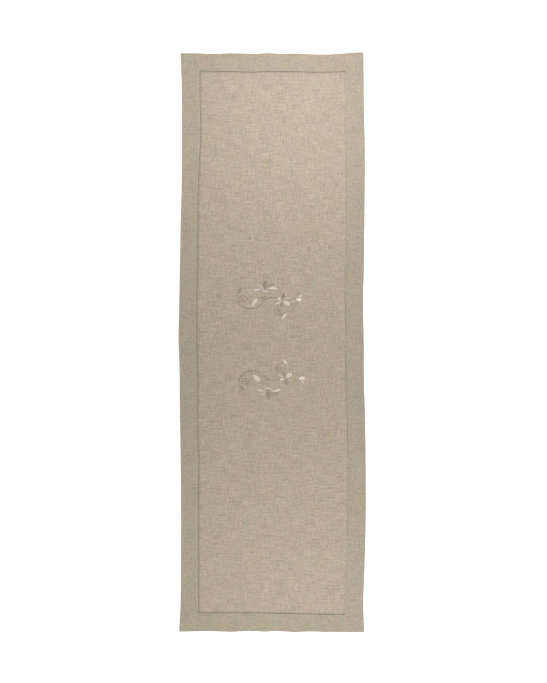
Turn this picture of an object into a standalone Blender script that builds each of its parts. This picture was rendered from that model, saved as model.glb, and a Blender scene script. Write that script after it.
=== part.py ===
"""Embroidered linen table runner, laid flat, with a hemstitched border.

Metres, +Z up.  The origin is the middle of the underside, +Y runs along the
length and +X across the width.
"""
import math

import bmesh
import bpy
from mathutils import Matrix, Vector

# Cloth
RUNNER_WIDTH = 0.406
RUNNER_LENGTH = 1.274
HEM_WIDTH = 0.0385         # folded border, from the outer fold to the hemstitching
LINEN = 0.00035            # one layer of the cloth
GAP = 0.0003               # air kept between pieces that touch

# Folded hem, in layers
HEM_BACK = 2 * LINEN       # the turned-back layer and the allowance tucked in it
FACE_LOW = HEM_BACK + GAP
FACE_HIGH = FACE_LOW + LINEN
FOLD_WALL = 0.0012         # the rolled outer edge that joins face and back
MITRE_GAP = 0.0018         # between two neighbouring hem backs, across the mitre

# Drawn-thread line between the field and the border
CHANNEL = 0.0026           # cloth edge to cloth edge
OPENWORK = CHANNEL - 2 * GAP

# Threads
HEMSTITCH_RADIUS = 0.00035
HEMSTITCH_INSET = 0.0009   # from the border's inner edge to the thread
MITRE_THREAD_RADIUS = 0.00025
STEM_RADIUS = 0.0005
PAD_LOW = FACE_HIGH + GAP  # underside of the embroidery
PAD_HEIGHT = 0.0008
STEM_STEP = 0.004          # spacing of the points along a stem

# The two motifs face each other across this line
MOTIF_MIRROR_Y = 0.006
BOTTOM_MOTIF_SHIFT = 0.0046

HALF_WIDTH = RUNNER_WIDTH / 2
HALF_LENGTH = RUNNER_LENGTH / 2
FIELD_HALF_WIDTH = HALF_WIDTH - HEM_WIDTH - CHANNEL
FIELD_HALF_LENGTH = HALF_LENGTH - HEM_WIDTH - CHANNEL

# Embroidery, in millimetres: across the runner from its middle, and away from
# the mirror line.  A petal is (base, tip, width, bow, belly); bow is how far
# its middle swings to the left of base to tip, and belly is where it is widest.
PETALS = {
    "lily_left": ((-22.0, 112.0), (-40.0, 107.0), 4.8, -1.0, 0.55, "white"),
    "lily_upper": ((-21.0, 115.0), (-32.5, 123.0), 4.8, -0.6, 0.55, "white"),
    "lily_middle": ((-14.5, 112.5), (-14.0, 130.0), 9.0, 0.0, 0.60, "olive"),
    "lily_right": ((-10.0, 112.0), (12.0, 111.5), 4.4, 2.0, 0.62, "white"),
    "lily_back": ((-7.5, 117.5), (5.0, 123.0), 4.2, 0.4, 0.50, "taupe"),
    "star_outer": ((24.4, 87.4), (27.6, 100.0), 7.0, -0.4, 0.62, "taupe"),
    "star_upper": ((26.6, 86.2), (41.5, 92.6), 3.4, 0.8, 0.60, "white"),
    "star_cream": ((26.4, 83.2), (40.0, 76.0), 7.0, 0.6, 0.62, "cream"),
    "star_left": ((20.6, 86.0), (12.6, 89.8), 2.8, 0.0, 0.60, "white"),
    "star_inner": ((20.6, 83.2), (9.2, 77.2), 3.2, 0.0, 0.60, "white"),
    "star_lower": ((23.2, 81.6), (21.8, 72.6), 5.6, 0.0, 0.60, "taupe"),
    "leaf": ((-32.0, 92.0), (-44.4, 75.4), 10.0, 0.6, 0.52, "cream"),
    "sprig": ((-74.6, 100.4), (-69.0, 111.6), 4.6, -0.6, 0.50, "taupe"),
    "bud_cup": ((55.6, 85.0), (67.2, 85.6), 5.0, -1.6, 0.50, "white"),
    "bud_tip": ((60.0, 88.4), (65.6, 98.2), 5.0, 0.4, 0.42, "cream"),
    "hanging_bud": ((31.6, 55.6), (19.4, 42.4), 8.6, 0.4, 0.52, "white"),
}

STEMS = {
    "vine": [(8.4, 92.0), (0.8, 92.9), (-9.0, 91.5), (-17.6, 87.0), (-21.6, 81.0),
             (-28.6, 73.7), (-39.6, 68.2), (-50.6, 67.0), (-61.7, 69.5), (-70.8, 75.0),
             (-77.2, 82.0), (-78.0, 90.0), (-76.2, 98.4)],
    "spiral": [(-74.2, 86.4), (-67.2, 82.3), (-58.6, 84.4), (-54.9, 90.6), (-60.0, 95.8),
               (-67.4, 94.2), (-69.4, 89.6), (-63.0, 88.2)],
    "leaf_stem": [(-19.2, 90.0), (-23.7, 91.6), (-27.4, 92.6), (-30.2, 93.0)],
    "hanging_curl": [(33.8, 60.6), (29.4, 58.2), (24.4, 56.2), (16.7, 53.8), (8.6, 57.4),
                     (4.4, 62.6), (7.4, 68.0), (12.8, 68.6), (17.4, 65.0), (13.8, 61.2)],
    "bud_stem": [(42.4, 76.4), (48.5, 76.2), (53.6, 78.6), (56.0, 82.0)],
}

# The vine's branch up to the lily, joined to it and a little thinner
BRANCH = [(-12.0, 90.4), (-13.2, 97.0), (-14.2, 104.0), (-14.6, 110.6)]
BRANCH_RADIUS = 0.0004

COLOURS = {
    "linen_field": (0.45, 0.37, 0.29, 0.90),
    "linen_border": (0.40, 0.35, 0.27, 0.90),
    "linen_back": (0.39, 0.34, 0.26, 0.92),
    "openwork": (0.20, 0.16, 0.11, 0.95),
    "hem_thread": (0.55, 0.48, 0.38, 0.75),
    "stem_thread": (0.25, 0.18, 0.12, 0.60),
    "white_thread": (0.72, 0.70, 0.62, 0.45),
    "cream_thread": (0.74, 0.66, 0.46, 0.45),
    "olive_thread": (0.22, 0.18, 0.08, 0.50),
    "taupe_thread": (0.16, 0.11, 0.08, 0.50),
}


def clear_scene():
    for thing in list(bpy.data.objects):
        bpy.data.objects.remove(thing, do_unlink=True)


def new_collection(name):
    collection = bpy.data.collections.new(name)
    bpy.context.scene.collection.children.link(collection)
    return collection


def make_materials():
    made = {}
    for name, (red, green, blue, roughness) in COLOURS.items():
        material = bpy.data.materials.new(name)
        material.use_nodes = True
        shader = material.node_tree.nodes["Principled BSDF"]
        shader.inputs["Base Color"].default_value = (red, green, blue, 1.0)
        shader.inputs["Roughness"].default_value = roughness
        shader.inputs["Metallic"].default_value = 0.0
        made[name] = material
    return made


def flat_piece(name, outlines, low, height, material, turn=0.0):
    """A flat outline, or an outline with a hole, from low to low + height."""
    curve = bpy.data.curves.new(name, "CURVE")
    curve.dimensions = "2D"
    curve.fill_mode = "BOTH"
    curve.extrude = height / 2
    for outline in outlines:
        spline = curve.splines.new("POLY")
        spline.points.add(len(outline) - 1)
        for point, (x, y) in zip(spline.points, outline):
            point.co = (x, y, 0.0, 1.0)
        spline.use_cyclic_u = True
    curve.materials.append(material)
    piece = bpy.data.objects.new(name, curve)
    piece.location.z = low + height / 2
    piece.rotation_euler.z = turn
    PIECES.objects.link(piece)
    return piece


def tube_piece(name, points, radius, material):
    """A round thread along the points."""
    curve = bpy.data.curves.new(name, "CURVE")
    curve.dimensions = "3D"
    curve.bevel_depth = radius
    curve.bevel_resolution = 2
    curve.use_fill_caps = True
    spline = curve.splines.new("POLY")
    spline.points.add(len(points) - 1)
    for point, place in zip(spline.points, points):
        point.co = (place[0], place[1], place[2], 1.0)
    curve.materials.append(material)
    piece = bpy.data.objects.new(name, curve)
    PIECES.objects.link(piece)
    return piece


def box_piece(name, size, low, centre, material, turn=0.0):
    """A slab from the cube primitive; centre is in the slab's own turned axes."""
    bpy.ops.mesh.primitive_cube_add(size=1.0)
    piece = bpy.context.active_object
    piece.name = name
    piece.data.name = name
    for vertex in piece.data.vertices:
        vertex.co.x *= size[0]
        vertex.co.y *= size[1]
        vertex.co.z *= size[2]
    piece.location = Matrix.Rotation(turn, 3, "Z") @ Vector((*centre, low + size[2] / 2))
    piece.rotation_euler.z = turn
    for collection in list(piece.users_collection):
        collection.objects.unlink(piece)
    PIECES.objects.link(piece)
    piece.data.materials.append(material)
    return piece


def rectangle(half_x, half_y):
    return [(-half_x, -half_y), (half_x, -half_y), (half_x, half_y), (-half_x, half_y)]


def as_mesh_object(piece, collection):
    """Swap a curve object for the mesh that it evaluates to, with welded caps."""
    graph = bpy.context.evaluated_depsgraph_get()
    mesh = bpy.data.meshes.new_from_object(piece.evaluated_get(graph))
    work = bmesh.new()
    work.from_mesh(mesh)
    bmesh.ops.remove_doubles(work, verts=work.verts, dist=0.000001)
    work.to_mesh(mesh)
    work.free()
    name = piece.name
    matrix = piece.matrix_world.copy()
    bpy.data.objects.remove(piece, do_unlink=True)
    solid = bpy.data.objects.new(name, mesh)
    solid.matrix_world = matrix
    collection.objects.link(solid)
    return solid


def build_cloth(materials):
    box_piece("field_panel", (2 * FIELD_HALF_WIDTH, 2 * FIELD_HALF_LENGTH, LINEN),
              FACE_LOW, (0.0, 0.0), materials["linen_field"])
    build_border_band(materials["linen_border"])
    sides = {
        "top": (0.0, HALF_WIDTH, HALF_LENGTH),
        "left": (math.pi / 2, HALF_LENGTH, HALF_WIDTH),
        "bottom": (math.pi, HALF_WIDTH, HALF_LENGTH),
        "right": (-math.pi / 2, HALF_LENGTH, HALF_WIDTH),
    }
    for side, (turn, half_run, reach) in sides.items():
        build_hem_side(side, turn, half_run, reach, materials)
    for x_name, x_sign in (("left", -1), ("right", 1)):
        for y_name, y_sign in (("top", 1), ("bottom", -1)):
            build_mitre_seam(f"mitre_seam_{y_name}_{x_name}", x_sign, y_sign,
                             materials["hem_thread"])


def build_border_band(material):
    """The border's face and its rolled outer edge: a frame hollowed from below."""
    outlines = [rectangle(HALF_WIDTH, HALF_LENGTH),
                rectangle(HALF_WIDTH - HEM_WIDTH, HALF_LENGTH - HEM_WIDTH)]
    band = flat_piece("border_band", outlines, 0.0, FACE_HIGH, material)
    band = as_mesh_object(band, PIECES)
    pocket_outlines = [rectangle(HALF_WIDTH - FOLD_WALL, HALF_LENGTH - FOLD_WALL),
                       rectangle(HALF_WIDTH - 2 * HEM_WIDTH, HALF_LENGTH - 2 * HEM_WIDTH)]
    pocket = flat_piece("hem_pocket_cutter", pocket_outlines, FACE_LOW - 0.01, 0.01, material)
    pocket = as_mesh_object(pocket, CUTTERS)
    pocket.hide_render = True
    pocket.display_type = "WIRE"
    cut = band.modifiers.new("hem_pocket", "BOOLEAN")
    cut.operation = "DIFFERENCE"
    cut.object = pocket


def build_hem_side(side, turn, half_run, reach, materials):
    """The hem back, the openwork strip and the hemstitch thread of one side."""
    outer = FOLD_WALL + GAP
    cut_back = MITRE_GAP / 2 * math.sqrt(2)
    long_half = half_run - outer - cut_back
    short_half = half_run - HEM_WIDTH - cut_back
    outline = [(-long_half, reach - outer), (-short_half, reach - HEM_WIDTH),
               (short_half, reach - HEM_WIDTH), (long_half, reach - outer)]
    flat_piece(f"hem_back_{side}", [outline], 0.0, HEM_BACK, materials["linen_back"], turn)

    run = half_run - HEM_WIDTH - CHANNEL - GAP
    middle = reach - HEM_WIDTH - CHANNEL / 2
    box_piece(f"openwork_{side}", (2 * run, OPENWORK, LINEN), FACE_LOW, (0.0, middle),
              materials["openwork"], turn)

    thread_y = reach - HEM_WIDTH + HEMSTITCH_INSET
    thread_half = half_run - HEM_WIDTH + HEMSTITCH_INSET - HEMSTITCH_RADIUS - 2 * GAP
    thread_z = FACE_HIGH + GAP + HEMSTITCH_RADIUS
    ends = [(-thread_half, thread_y, thread_z), (thread_half, thread_y, thread_z)]
    thread = tube_piece(f"hemstitch_{side}", ends, HEMSTITCH_RADIUS, materials["hem_thread"])
    thread.rotation_euler.z = turn


def build_mitre_seam(name, x_sign, y_sign, material):
    points = []
    for inset in (0.004, HEM_WIDTH - 0.001):
        points.append((x_sign * (HALF_WIDTH - inset), y_sign * (HALF_LENGTH - inset),
                       HEM_BACK / 2))
    tube_piece(name, points, MITRE_THREAD_RADIUS, material)


def motif_place(point, y_sign):
    """A motif point in metres, on the top motif or on its mirrored twin."""
    shift = BOTTOM_MOTIF_SHIFT if y_sign < 0 else 0.0
    return (point[0] / 1000 + shift, MOTIF_MIRROR_Y + y_sign * point[1] / 1000)


def petal_outline(base, tip, width, bow, belly, steps=8):
    """Points round a petal: a bowed spine with a rounded belly on both sides."""
    base = Vector(base)
    tip = Vector(tip)
    along = tip - base
    across = Vector((-along.y, along.x)).normalized()
    power = math.log(0.5) / math.log(belly)
    left = []
    right = []
    for step in range(1, steps):
        part = step / steps
        spine = base + along * part + across * bow * math.sin(math.pi * part)
        half = width / 2 * math.sin(math.pi * part ** power) ** 0.8
        left.append(spine + across * half)
        right.append(spine - across * half)
    return [base] + right + [tip] + left[::-1]


def smooth_run(points, step):
    """Points every step along a Catmull-Rom curve through the given points."""
    knots = [Vector(p) for p in points]
    knots = [2 * knots[0] - knots[1]] + knots + [2 * knots[-1] - knots[-2]]
    run = [knots[1]]
    for first, start, end, last in zip(knots, knots[1:], knots[2:], knots[3:]):
        count = max(2, round((end - start).length / step))
        for index in range(1, count + 1):
            t = index / count
            place = 0.5 * (2 * start + (end - first) * t
                           + (2 * first - 5 * start + 4 * end - last) * t ** 2
                           + (3 * start - first - 3 * end + last) * t ** 3)
            run.append(place)
    return run


def stem_path(knots, y_sign):
    run = smooth_run([motif_place(p, y_sign) for p in knots], STEM_STEP)
    return [(p.x, p.y, PAD_LOW + STEM_RADIUS) for p in run]


def join_branch(vine, prefix, y_sign, material):
    """Unite the lily's branch with the vine, as one run of stitches."""
    vine = as_mesh_object(vine, PIECES)
    branch = tube_piece(f"{prefix}_branch_joiner", stem_path(BRANCH, y_sign), BRANCH_RADIUS,
                        material)
    branch = as_mesh_object(branch, CUTTERS)
    branch.hide_render = True
    branch.display_type = "WIRE"
    union = vine.modifiers.new("branch", "BOOLEAN")
    union.operation = "UNION"
    union.object = branch


def build_motif(prefix, y_sign, materials):
    for name, (base, tip, width, bow, belly, colour) in PETALS.items():
        outline = [motif_place(p, y_sign) for p in petal_outline(base, tip, width, bow, belly)]
        if y_sign < 0:
            outline.reverse()
        flat_piece(f"{prefix}_{name}", [outline], PAD_LOW, PAD_HEIGHT,
                   materials[f"{colour}_thread"])
    for name, knots in STEMS.items():
        stem = tube_piece(f"{prefix}_{name}", stem_path(knots, y_sign), STEM_RADIUS,
                          materials["stem_thread"])
        if name == "vine":
            join_branch(stem, prefix, y_sign, materials["stem_thread"])


clear_scene()
PIECES = new_collection("table_runner")
CUTTERS = new_collection("cutters")
MATERIALS = make_materials()
build_cloth(MATERIALS)
build_motif("top", 1, MATERIALS)
build_motif("bottom", -1, MATERIALS)
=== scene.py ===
import math
import random
import bmesh
import bpy
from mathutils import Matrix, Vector, noise


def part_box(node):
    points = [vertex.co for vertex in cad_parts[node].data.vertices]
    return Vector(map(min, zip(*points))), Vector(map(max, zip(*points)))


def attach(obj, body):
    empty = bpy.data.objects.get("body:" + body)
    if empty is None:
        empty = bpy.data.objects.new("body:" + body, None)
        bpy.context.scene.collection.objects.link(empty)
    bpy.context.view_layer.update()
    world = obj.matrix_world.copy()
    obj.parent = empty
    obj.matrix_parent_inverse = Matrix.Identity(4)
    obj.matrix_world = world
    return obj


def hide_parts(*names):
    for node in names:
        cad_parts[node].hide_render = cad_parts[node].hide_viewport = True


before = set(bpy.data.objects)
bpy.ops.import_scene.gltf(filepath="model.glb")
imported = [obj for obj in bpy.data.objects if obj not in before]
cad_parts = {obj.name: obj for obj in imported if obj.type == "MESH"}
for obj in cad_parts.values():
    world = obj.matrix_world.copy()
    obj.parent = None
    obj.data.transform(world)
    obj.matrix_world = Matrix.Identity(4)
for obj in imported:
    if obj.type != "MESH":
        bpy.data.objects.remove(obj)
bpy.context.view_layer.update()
print("frame loaded, nodes:", len(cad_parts))

mm = 0.001
fieldLow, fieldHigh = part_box("field_panel")
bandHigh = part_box("border_band")[1]
hemLow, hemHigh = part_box("hem_back_top")

# the cloth, read off the frame where it can be, in metres
cloth = {
    "hem": bandHigh.y - hemLow.y,          # outer fold to hemstitch line
    "channel": hemLow.y - fieldHigh.y,     # the drawn-thread gap
    "layer": fieldHigh.z - fieldLow.z,
    "face": fieldHigh.z,
    "hemBack": hemHigh.z,
    "step": 5 * mm,                        # grid of the cloth meshes
    "frayEnds": 0.54 * mm,                 # how far the cloth's frayed edges reach into the channel
    "fraySides": 0.80 * mm,
}
fieldX = fieldHigh.x + cloth["fraySides"]
fieldY = fieldHigh.y + cloth["frayEnds"]
halfX = bandHigh.x
halfY = bandHigh.y
innerX = halfX - cloth["hem"]
innerY = halfY - cloth["hem"]
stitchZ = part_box("top_leaf")[0].z          # underside of the embroidery

# how the cloth has come to lie, in millimetres
# a bow is (place along the edge, how far it has drifted to the right or to the top)
lie = {
    "leftBow": [(-637, -2.5), (-570, 0.5), (-400, 1.5), (-290, 1.0), (-130, -1.5), (-60, -2.0),
                (10, -4.0), (90, -2.5), (225, 0.0), (340, 2.5), (445, 3.5), (570, 2.5), (637, 0.5)],
    "leftLine": [(-590, -1.0), (-400, -1.5), (-270, -1.0), (-170, -3.5), (-85, -3.0), (10, -4.5),
                 (110, -4.5), (225, -3.5), (350, -1.0), (445, 3.0), (590, 2.0)],
    "rightLine": [(-590, -3.5), (-525, -1.5), (-440, 1.5), (-310, 2.5), (-215, 1.5), (-130, -0.5),
                  (-60, -2.5), (10, -2.0), (115, -4.0), (210, -1.0), (400, -1.0), (500, -2.5),
                  (590, -2.5)],
    "rightBow": [(-637, -2.0), (-570, -3.5), (-500, -1.0), (-390, 2.0), (-300, 2.0), (-170, 0.5),
                 (-85, -2.0), (0, -2.5), (80, -4.0), (180, -2.0), (300, -0.5), (430, 0.0), (530, -2.0),
                 (637, -3.0)],
    "topBow": [(-203, 0.0), (-170, 0.0), (-140, -1.0), (-80, 0.0), (-40, -1.0), (-10, 0.5), (25, -1.5),
               (50, -0.5), (100, -2.5), (135, -2.0), (180, 1.5), (203, 2.0)],
    "topLine": [(-163, 1.0), (-45, -1.5), (5, 0.0), (60, -1.0), (95, -2.0), (163, -1.0)],
    "bottomLine": [(-163, 1.0), (-70, 1.5), (50, 0.0), (100, -1.5), (163, -3.0)],
    "bottomBow": [(-203, 0.0), (-140, 1.0), (-90, -0.5), (-50, 1.0), (-15, 0.0), (15, 1.0),
                  (50, -1.0), (85, 0.0), (120, -1.0), (203, -1.0)],
    "lineReach": 140,        # how far into the field the end lines pull the cloth
    "swell": 0.9,            # soft rise and fall of the whole cloth
    "swellSize": 190,
    "ripple": 1.5,           # waves in the hems
    "rippleSize": 75,
    "rippleReach": 55,
    "cornerLift": 1.2,
}


def smoothAt(knots, place):
    # smooth value between given knots
    if place <= knots[0][0]:
        return knots[0][1]
    for index in range(len(knots) - 1):
        here, there = knots[index], knots[index + 1]
        if place <= there[0]:
            before = knots[max(index - 1, 0)]
            after = knots[min(index + 2, len(knots) - 1)]
            run = there[0] - here[0]
            leaving = (there[1] - before[1]) / (there[0] - before[0]) * run
            arriving = (after[1] - here[1]) / (after[0] - here[0]) * run
            t = (place - here[0]) / run
            return ((2 * t ** 3 - 3 * t ** 2 + 1) * here[1] + (t ** 3 - 2 * t ** 2 + t) * leaving
                    + (3 * t ** 2 - 2 * t ** 3) * there[1] + (t ** 3 - t ** 2) * arriving)
    return knots[-1][1]


bowCache = {}


def bowAt(name, place):
    # the bows are read once per half millimetre, in metres
    key = (name, round(place / mm * 2))
    if key not in bowCache:
        bowCache[key] = smoothAt(lie[name], place / mm) * mm
    return bowCache[key]


def ease(value):
    value = min(max(value, 0.0), 1.0)
    return value * value * (3 - 2 * value)


def laid(x, y, z):
    # where a point of the flat cloth comes to lie
    across = min(max((x / innerX + 1) / 2, 0.0), 1.0)
    hemShare = min(max((abs(x) - innerX) / cloth["hem"], 0.0), 1.0)
    dx = (1 - across) * bowAt("leftLine", y) + across * bowAt("rightLine", y)
    dx += hemShare * (bowAt("rightBow" if x > 0 else "leftBow", y) - dx)
    end = "top" if y > 0 else "bottom"
    lineShare = ease((abs(y) - innerY) / (lie["lineReach"] * mm) + 1)
    edgeShare = ease((abs(y) - innerY) / cloth["hem"])
    dy = lineShare * ((1 - edgeShare) * bowAt(end + "Line", x) + edgeShare * bowAt(end + "Bow", x))
    swell = 0.5 + 0.5 * noise.noise(Vector((x, y, 0.3)) / (lie["swellSize"] * mm))
    ripple = 0.5 + 0.5 * noise.noise(Vector((x, y, 0.9)) / (lie["rippleSize"] * mm))
    edgeX = halfX - abs(x)
    edgeY = halfY - abs(y)
    reach = lie["rippleReach"] * mm
    nearEdge = math.exp(-max(min(edgeX, edgeY), 0.0) / reach)
    nearCorner = math.exp(-max(edgeX, 0.0) / reach - max(edgeY, 0.0) / reach)
    lift = (lie["swell"] * swell ** 2 + lie["ripple"] * ripple ** 2 * nearEdge
            + lie["cornerLift"] * nearCorner) * mm
    return Vector((x + dx, y + dy, z + lift))


lightLevel = 1.45    # how much brighter than a plain white world the studio lights the cloth


def tone(red, green, blue, level=lightLevel):
    # the shader colour for a 0-255 colour as it looks on the table
    def linear(value):
        value = value / 255
        return (value / 12.92 if value <= 0.04045 else ((value + 0.055) / 1.055) ** 2.4) / level
    return (linear(red), linear(green), linear(blue), 1.0)


def addNode(tree, kind, inputs=None, **settings):
    made = tree.nodes.new(kind)
    for key, value in settings.items():
        setattr(made, key, value)
    for key, value in (inputs or {}).items():
        if isinstance(value, bpy.types.NodeSocket):
            tree.links.new(value, made.inputs[key])
        else:
            made.inputs[key].default_value = value
    return made


def maths(tree, operation, *values):
    made = addNode(tree, "ShaderNodeMath", dict(enumerate(values)), operation=operation)
    return made.outputs[0]


def stretched(tree, place, across, along):
    # the cloth's own coordinates, counted in patches of across x along metres
    made = addNode(tree, "ShaderNodeVectorMath", {0: place, 1: (1 / across, 1 / along, 1.0)},
                   operation="MULTIPLY")
    return made.outputs[0]


def cloud(tree, vector, detail, roughness=0.5):
    # noise around zero, about -1 to 1
    made = addNode(tree, "ShaderNodeTexNoise", {"Vector": vector, "Scale": 1.0, "Detail": detail,
                                                "Roughness": roughness})
    return maths(tree, "MULTIPLY_ADD", made.outputs["Fac"], 4.0, -2.0)


def patches(tree, place, size, detail=2.0, roughness=0.5):
    # noise in patches of size, given across and along in metres
    return cloud(tree, stretched(tree, place, *size), detail, roughness)


def newGroup(name, takes):
    # the kind of an input follows from its usual value; do makes a maths node inside the group
    tree = bpy.data.node_groups.new(name, "ShaderNodeTree")

    def addSocket(label, way, kind):
        return tree.interface.new_socket(name=label, in_out=way, socket_type="NodeSocket" + kind)

    for label, value in takes.items():
        kind = {3: "Vector", 4: "Color"}[len(value)] if isinstance(value, tuple) else "Float"
        addSocket(label, "INPUT", kind).default_value = value
    for label, kind in (("Color", "Color"), ("Roughness", "Float"), ("Height", "Float")):
        addSocket(label, "OUTPUT", kind)

    def do(operation, *values):
        return maths(tree, operation, *values)

    start = tree.nodes.new("NodeGroupInput")
    end = tree.nodes.new("NodeGroupOutput")
    return tree, start.outputs, end.inputs, do


# the linen's patches, each as its size across and along in metres
weave = {
    "spacing": 0.00062,      # from one yarn to the next
    "warpYarn": (0.0007, 0.030),
    "weftYarn": (0.030, 0.0007),
    "slubUp": (0.0022, 0.024),
    "slubAcross": (0.034, 0.0022),
    "mottle": (0.0040, 0.0042),
    "blotch": (0.030, 0.045),
    "pinkWide": (0.022, 0.050),
    "pinkFine": (0.0075, 0.024),
    "goldWide": (0.030, 0.056),
    "goldFine": (0.0090, 0.020),
    "paintedGapShade": 0.22,        # painted shade: how much darker the gaps between the yarns are painted
    "paintedGapLevel": 0.86,
}


def makeLinenGroup():
    # plain weave with uneven yarns: Place is the flat cloth in metres
    tree, takes, gives, do = newGroup("slubbedLinen", {
        "Place": (0, 0, 0), "Cloth Color": (0.5, 0.4, 0.3, 1), "Yarn Spacing": weave["spacing"],
        "Yarn Shade": 0.10, "Slub Shade": 0.09, "Mottle": 0.05, "Blotch": 0.03, "Hue Drift": 0.03})
    place = takes["Place"]

    def patch(name, *settings):
        return patches(tree, place, weave[name], *settings)

    split = addNode(tree, "ShaderNodeSeparateXYZ", {0: place})
    perYarn = do("DIVIDE", math.pi, takes["Yarn Spacing"])
    warpWave, weftWave = (do("SINE", do("MULTIPLY", split.outputs[axis], perYarn)) for axis in "XY")
    warp, weft = do("ABSOLUTE", warpWave), do("ABSOLUTE", weftWave)
    over = do("GREATER_THAN", do("MULTIPLY", warpWave, weftWave), 0.0)
    under = do("SUBTRACT", 1.0, over)
    relief = do("ADD", do("MULTIPLY", warp, over), do("MULTIPLY", weft, under))
    # single yarns differ in tone along their whole run
    yarn = do("ADD", do("MULTIPLY", patch("warpYarn"), over), do("MULTIPLY", patch("weftYarn"), under))
    # slubs are short thick stretches, darker than the rest
    slubs = do("MULTIPLY_ADD", patch("slubUp"), 0.78, patch("slubAcross"))
    shade = do("MULTIPLY_ADD", yarn, takes["Yarn Shade"], 1.0)
    shade = do("MULTIPLY_ADD", slubs, takes["Slub Shade"], shade)
    shade = do("MULTIPLY_ADD", patch("mottle", 4.0, 0.72), takes["Mottle"], shade)
    shade = do("MULTIPLY_ADD", patch("blotch", 3.0, 0.6), takes["Blotch"], shade)
    # painted shade: the gaps between the yarns are darkened as if shadowed
    shade = do("MULTIPLY", shade, do("MULTIPLY_ADD", relief, weave["paintedGapShade"], weave["paintedGapLevel"]))
    # pink drifts towards grey-green and back, gold drifts towards grey and back
    pink = do("MULTIPLY_ADD", patch("pinkWide"), 0.8, patch("pinkFine"))
    gold = do("MULTIPLY_ADD", patch("goldWide"), 0.8, patch("goldFine"))
    drift = takes["Hue Drift"]
    redShade = do("MULTIPLY_ADD", do("ADD", pink, do("MULTIPLY", gold, 0.4)), drift, shade)
    green = do("MULTIPLY_ADD", gold, 0.4, do("MULTIPLY", pink, -0.35))
    greenShade = do("MULTIPLY_ADD", green, drift, shade)
    blueShade = do("MULTIPLY_ADD", gold, do("MULTIPLY", drift, -1.1), shade)
    tint = addNode(tree, "ShaderNodeCombineXYZ", {0: redShade, 1: greenShade, 2: blueShade})
    dyed = addNode(tree, "ShaderNodeVectorMath", {0: takes["Cloth Color"], 1: tint.outputs[0]},
                   operation="MULTIPLY")
    tree.links.new(dyed.outputs[0], gives["Color"])
    tree.links.new(do("MULTIPLY_ADD", slubs, 0.03, 0.90), gives["Roughness"])
    height = do("MULTIPLY_ADD", slubs, 0.18, relief)
    tree.links.new(do("MULTIPLY_ADD", yarn, 0.2, height), gives["Height"])
    return tree


def makeThreadGroup():
    # twisted thread: U runs along a stitch, V round it
    tree, takes, gives, do = newGroup("sewnThread", {
        "Place": (0, 0, 0), "Along": (0, 0, 0), "Thread Color": (0.5, 0.5, 0.5, 1),
        "Second Color": (0.4, 0.4, 0.4, 1), "Patch": 0.004, "Strand Shade": 0.10, "Twist": 3.0})
    split = addNode(tree, "ShaderNodeSeparateXYZ", {0: takes["Along"]})
    turns = do("MULTIPLY_ADD", split.outputs["X"], takes["Twist"],
               do("MULTIPLY", split.outputs["Y"], 2.0))
    ply = do("ABSOLUTE", do("SINE", do("MULTIPLY", turns, math.pi)))
    patch = addNode(tree, "ShaderNodeVectorMath", {0: takes["Place"]}, operation="SCALE")
    tree.links.new(do("DIVIDE", 1.0, takes["Patch"]), patch.inputs["Scale"])
    mix = do("MULTIPLY_ADD", cloud(tree, patch.outputs[0], 2.0), 0.5, 0.45)
    blend = addNode(tree, "ShaderNodeMix", {"Factor": mix, "A": takes["Thread Color"],
                                            "B": takes["Second Color"]}, data_type="RGBA")
    strand = patches(tree, takes["Place"], (0.0006, 0.0006), 1.0)
    shade = do("MULTIPLY_ADD", strand, takes["Strand Shade"], 0.92)
    # painted shade: darker in the grooves between the plies
    shade = do("MULTIPLY", shade, do("MULTIPLY_ADD", ply, 0.14, 0.88))
    dyed = addNode(tree, "ShaderNodeVectorMath", {0: blend.outputs["Result"]}, operation="SCALE")
    tree.links.new(shade, dyed.inputs["Scale"])
    tree.links.new(dyed.outputs[0], gives["Color"])
    tree.links.new(do("MULTIPLY_ADD", strand, 0.06, 0.50), gives["Roughness"])
    tree.links.new(ply, gives["Height"])
    return tree


linenGroup = makeLinenGroup()
threadGroup = makeThreadGroup()

bumpHeights = {"linen": 0.00006, "thread": 0.00003}      # height of the finest detail, in metres

# colours as 0-255 tones, then how lively the weave is
linens = {
    "field": {"color": tone(175, 161, 143), "Yarn Shade": 0.17, "Slub Shade": 0.145, "Mottle": 0.255,
              "Blotch": 0.03, "Hue Drift": 0.034},
    "border": {"color": tone(168, 157, 138), "Yarn Shade": 0.15, "Slub Shade": 0.085, "Mottle": 0.27,
               "Blotch": 0.05, "Hue Drift": 0.044},
}
# the hem back is the same linen as the border, painted darker as shade where it shows under the drawn
# threads
linens["back"] = linens["border"] | {"color": tone(158, 147, 129)}


def newMaterial(name):
    material = bpy.data.materials.new(name)
    material.use_nodes = True
    return material, material.node_tree, material.node_tree.nodes["Principled BSDF"]


def finishedMaterial(name, group, values, bump, sheen, coordinates):
    material, tree, shader = newMaterial(name)
    effect = addNode(tree, "ShaderNodeGroup", node_tree=group)
    for label, value in values.items():
        effect.inputs[label].default_value = value
    source = addNode(tree, "ShaderNodeTexCoord")
    for label, output in coordinates.items():
        tree.links.new(source.outputs[output], effect.inputs[label])
    bumps = addNode(tree, "ShaderNodeBump", {"Distance": bump, "Strength": 1.0,
                                             "Height": effect.outputs["Height"]})
    tree.links.new(effect.outputs["Color"], shader.inputs["Base Color"])
    tree.links.new(effect.outputs["Roughness"], shader.inputs["Roughness"])
    tree.links.new(bumps.outputs["Normal"], shader.inputs["Normal"])
    shader.inputs["Sheen Weight"].default_value = sheen
    shader.inputs["Sheen Roughness"].default_value = 0.5
    shader.inputs["Specular IOR Level"].default_value = 0.25
    return material


def linenMaterial(kind):
    values = {key: value for key, value in linens[kind].items() if key != "color"}
    values["Cloth Color"] = linens[kind]["color"]
    return finishedMaterial("linen_" + kind, linenGroup, values, bumpHeights["linen"], 0.08,
                            {"Place": "UV"})


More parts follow.
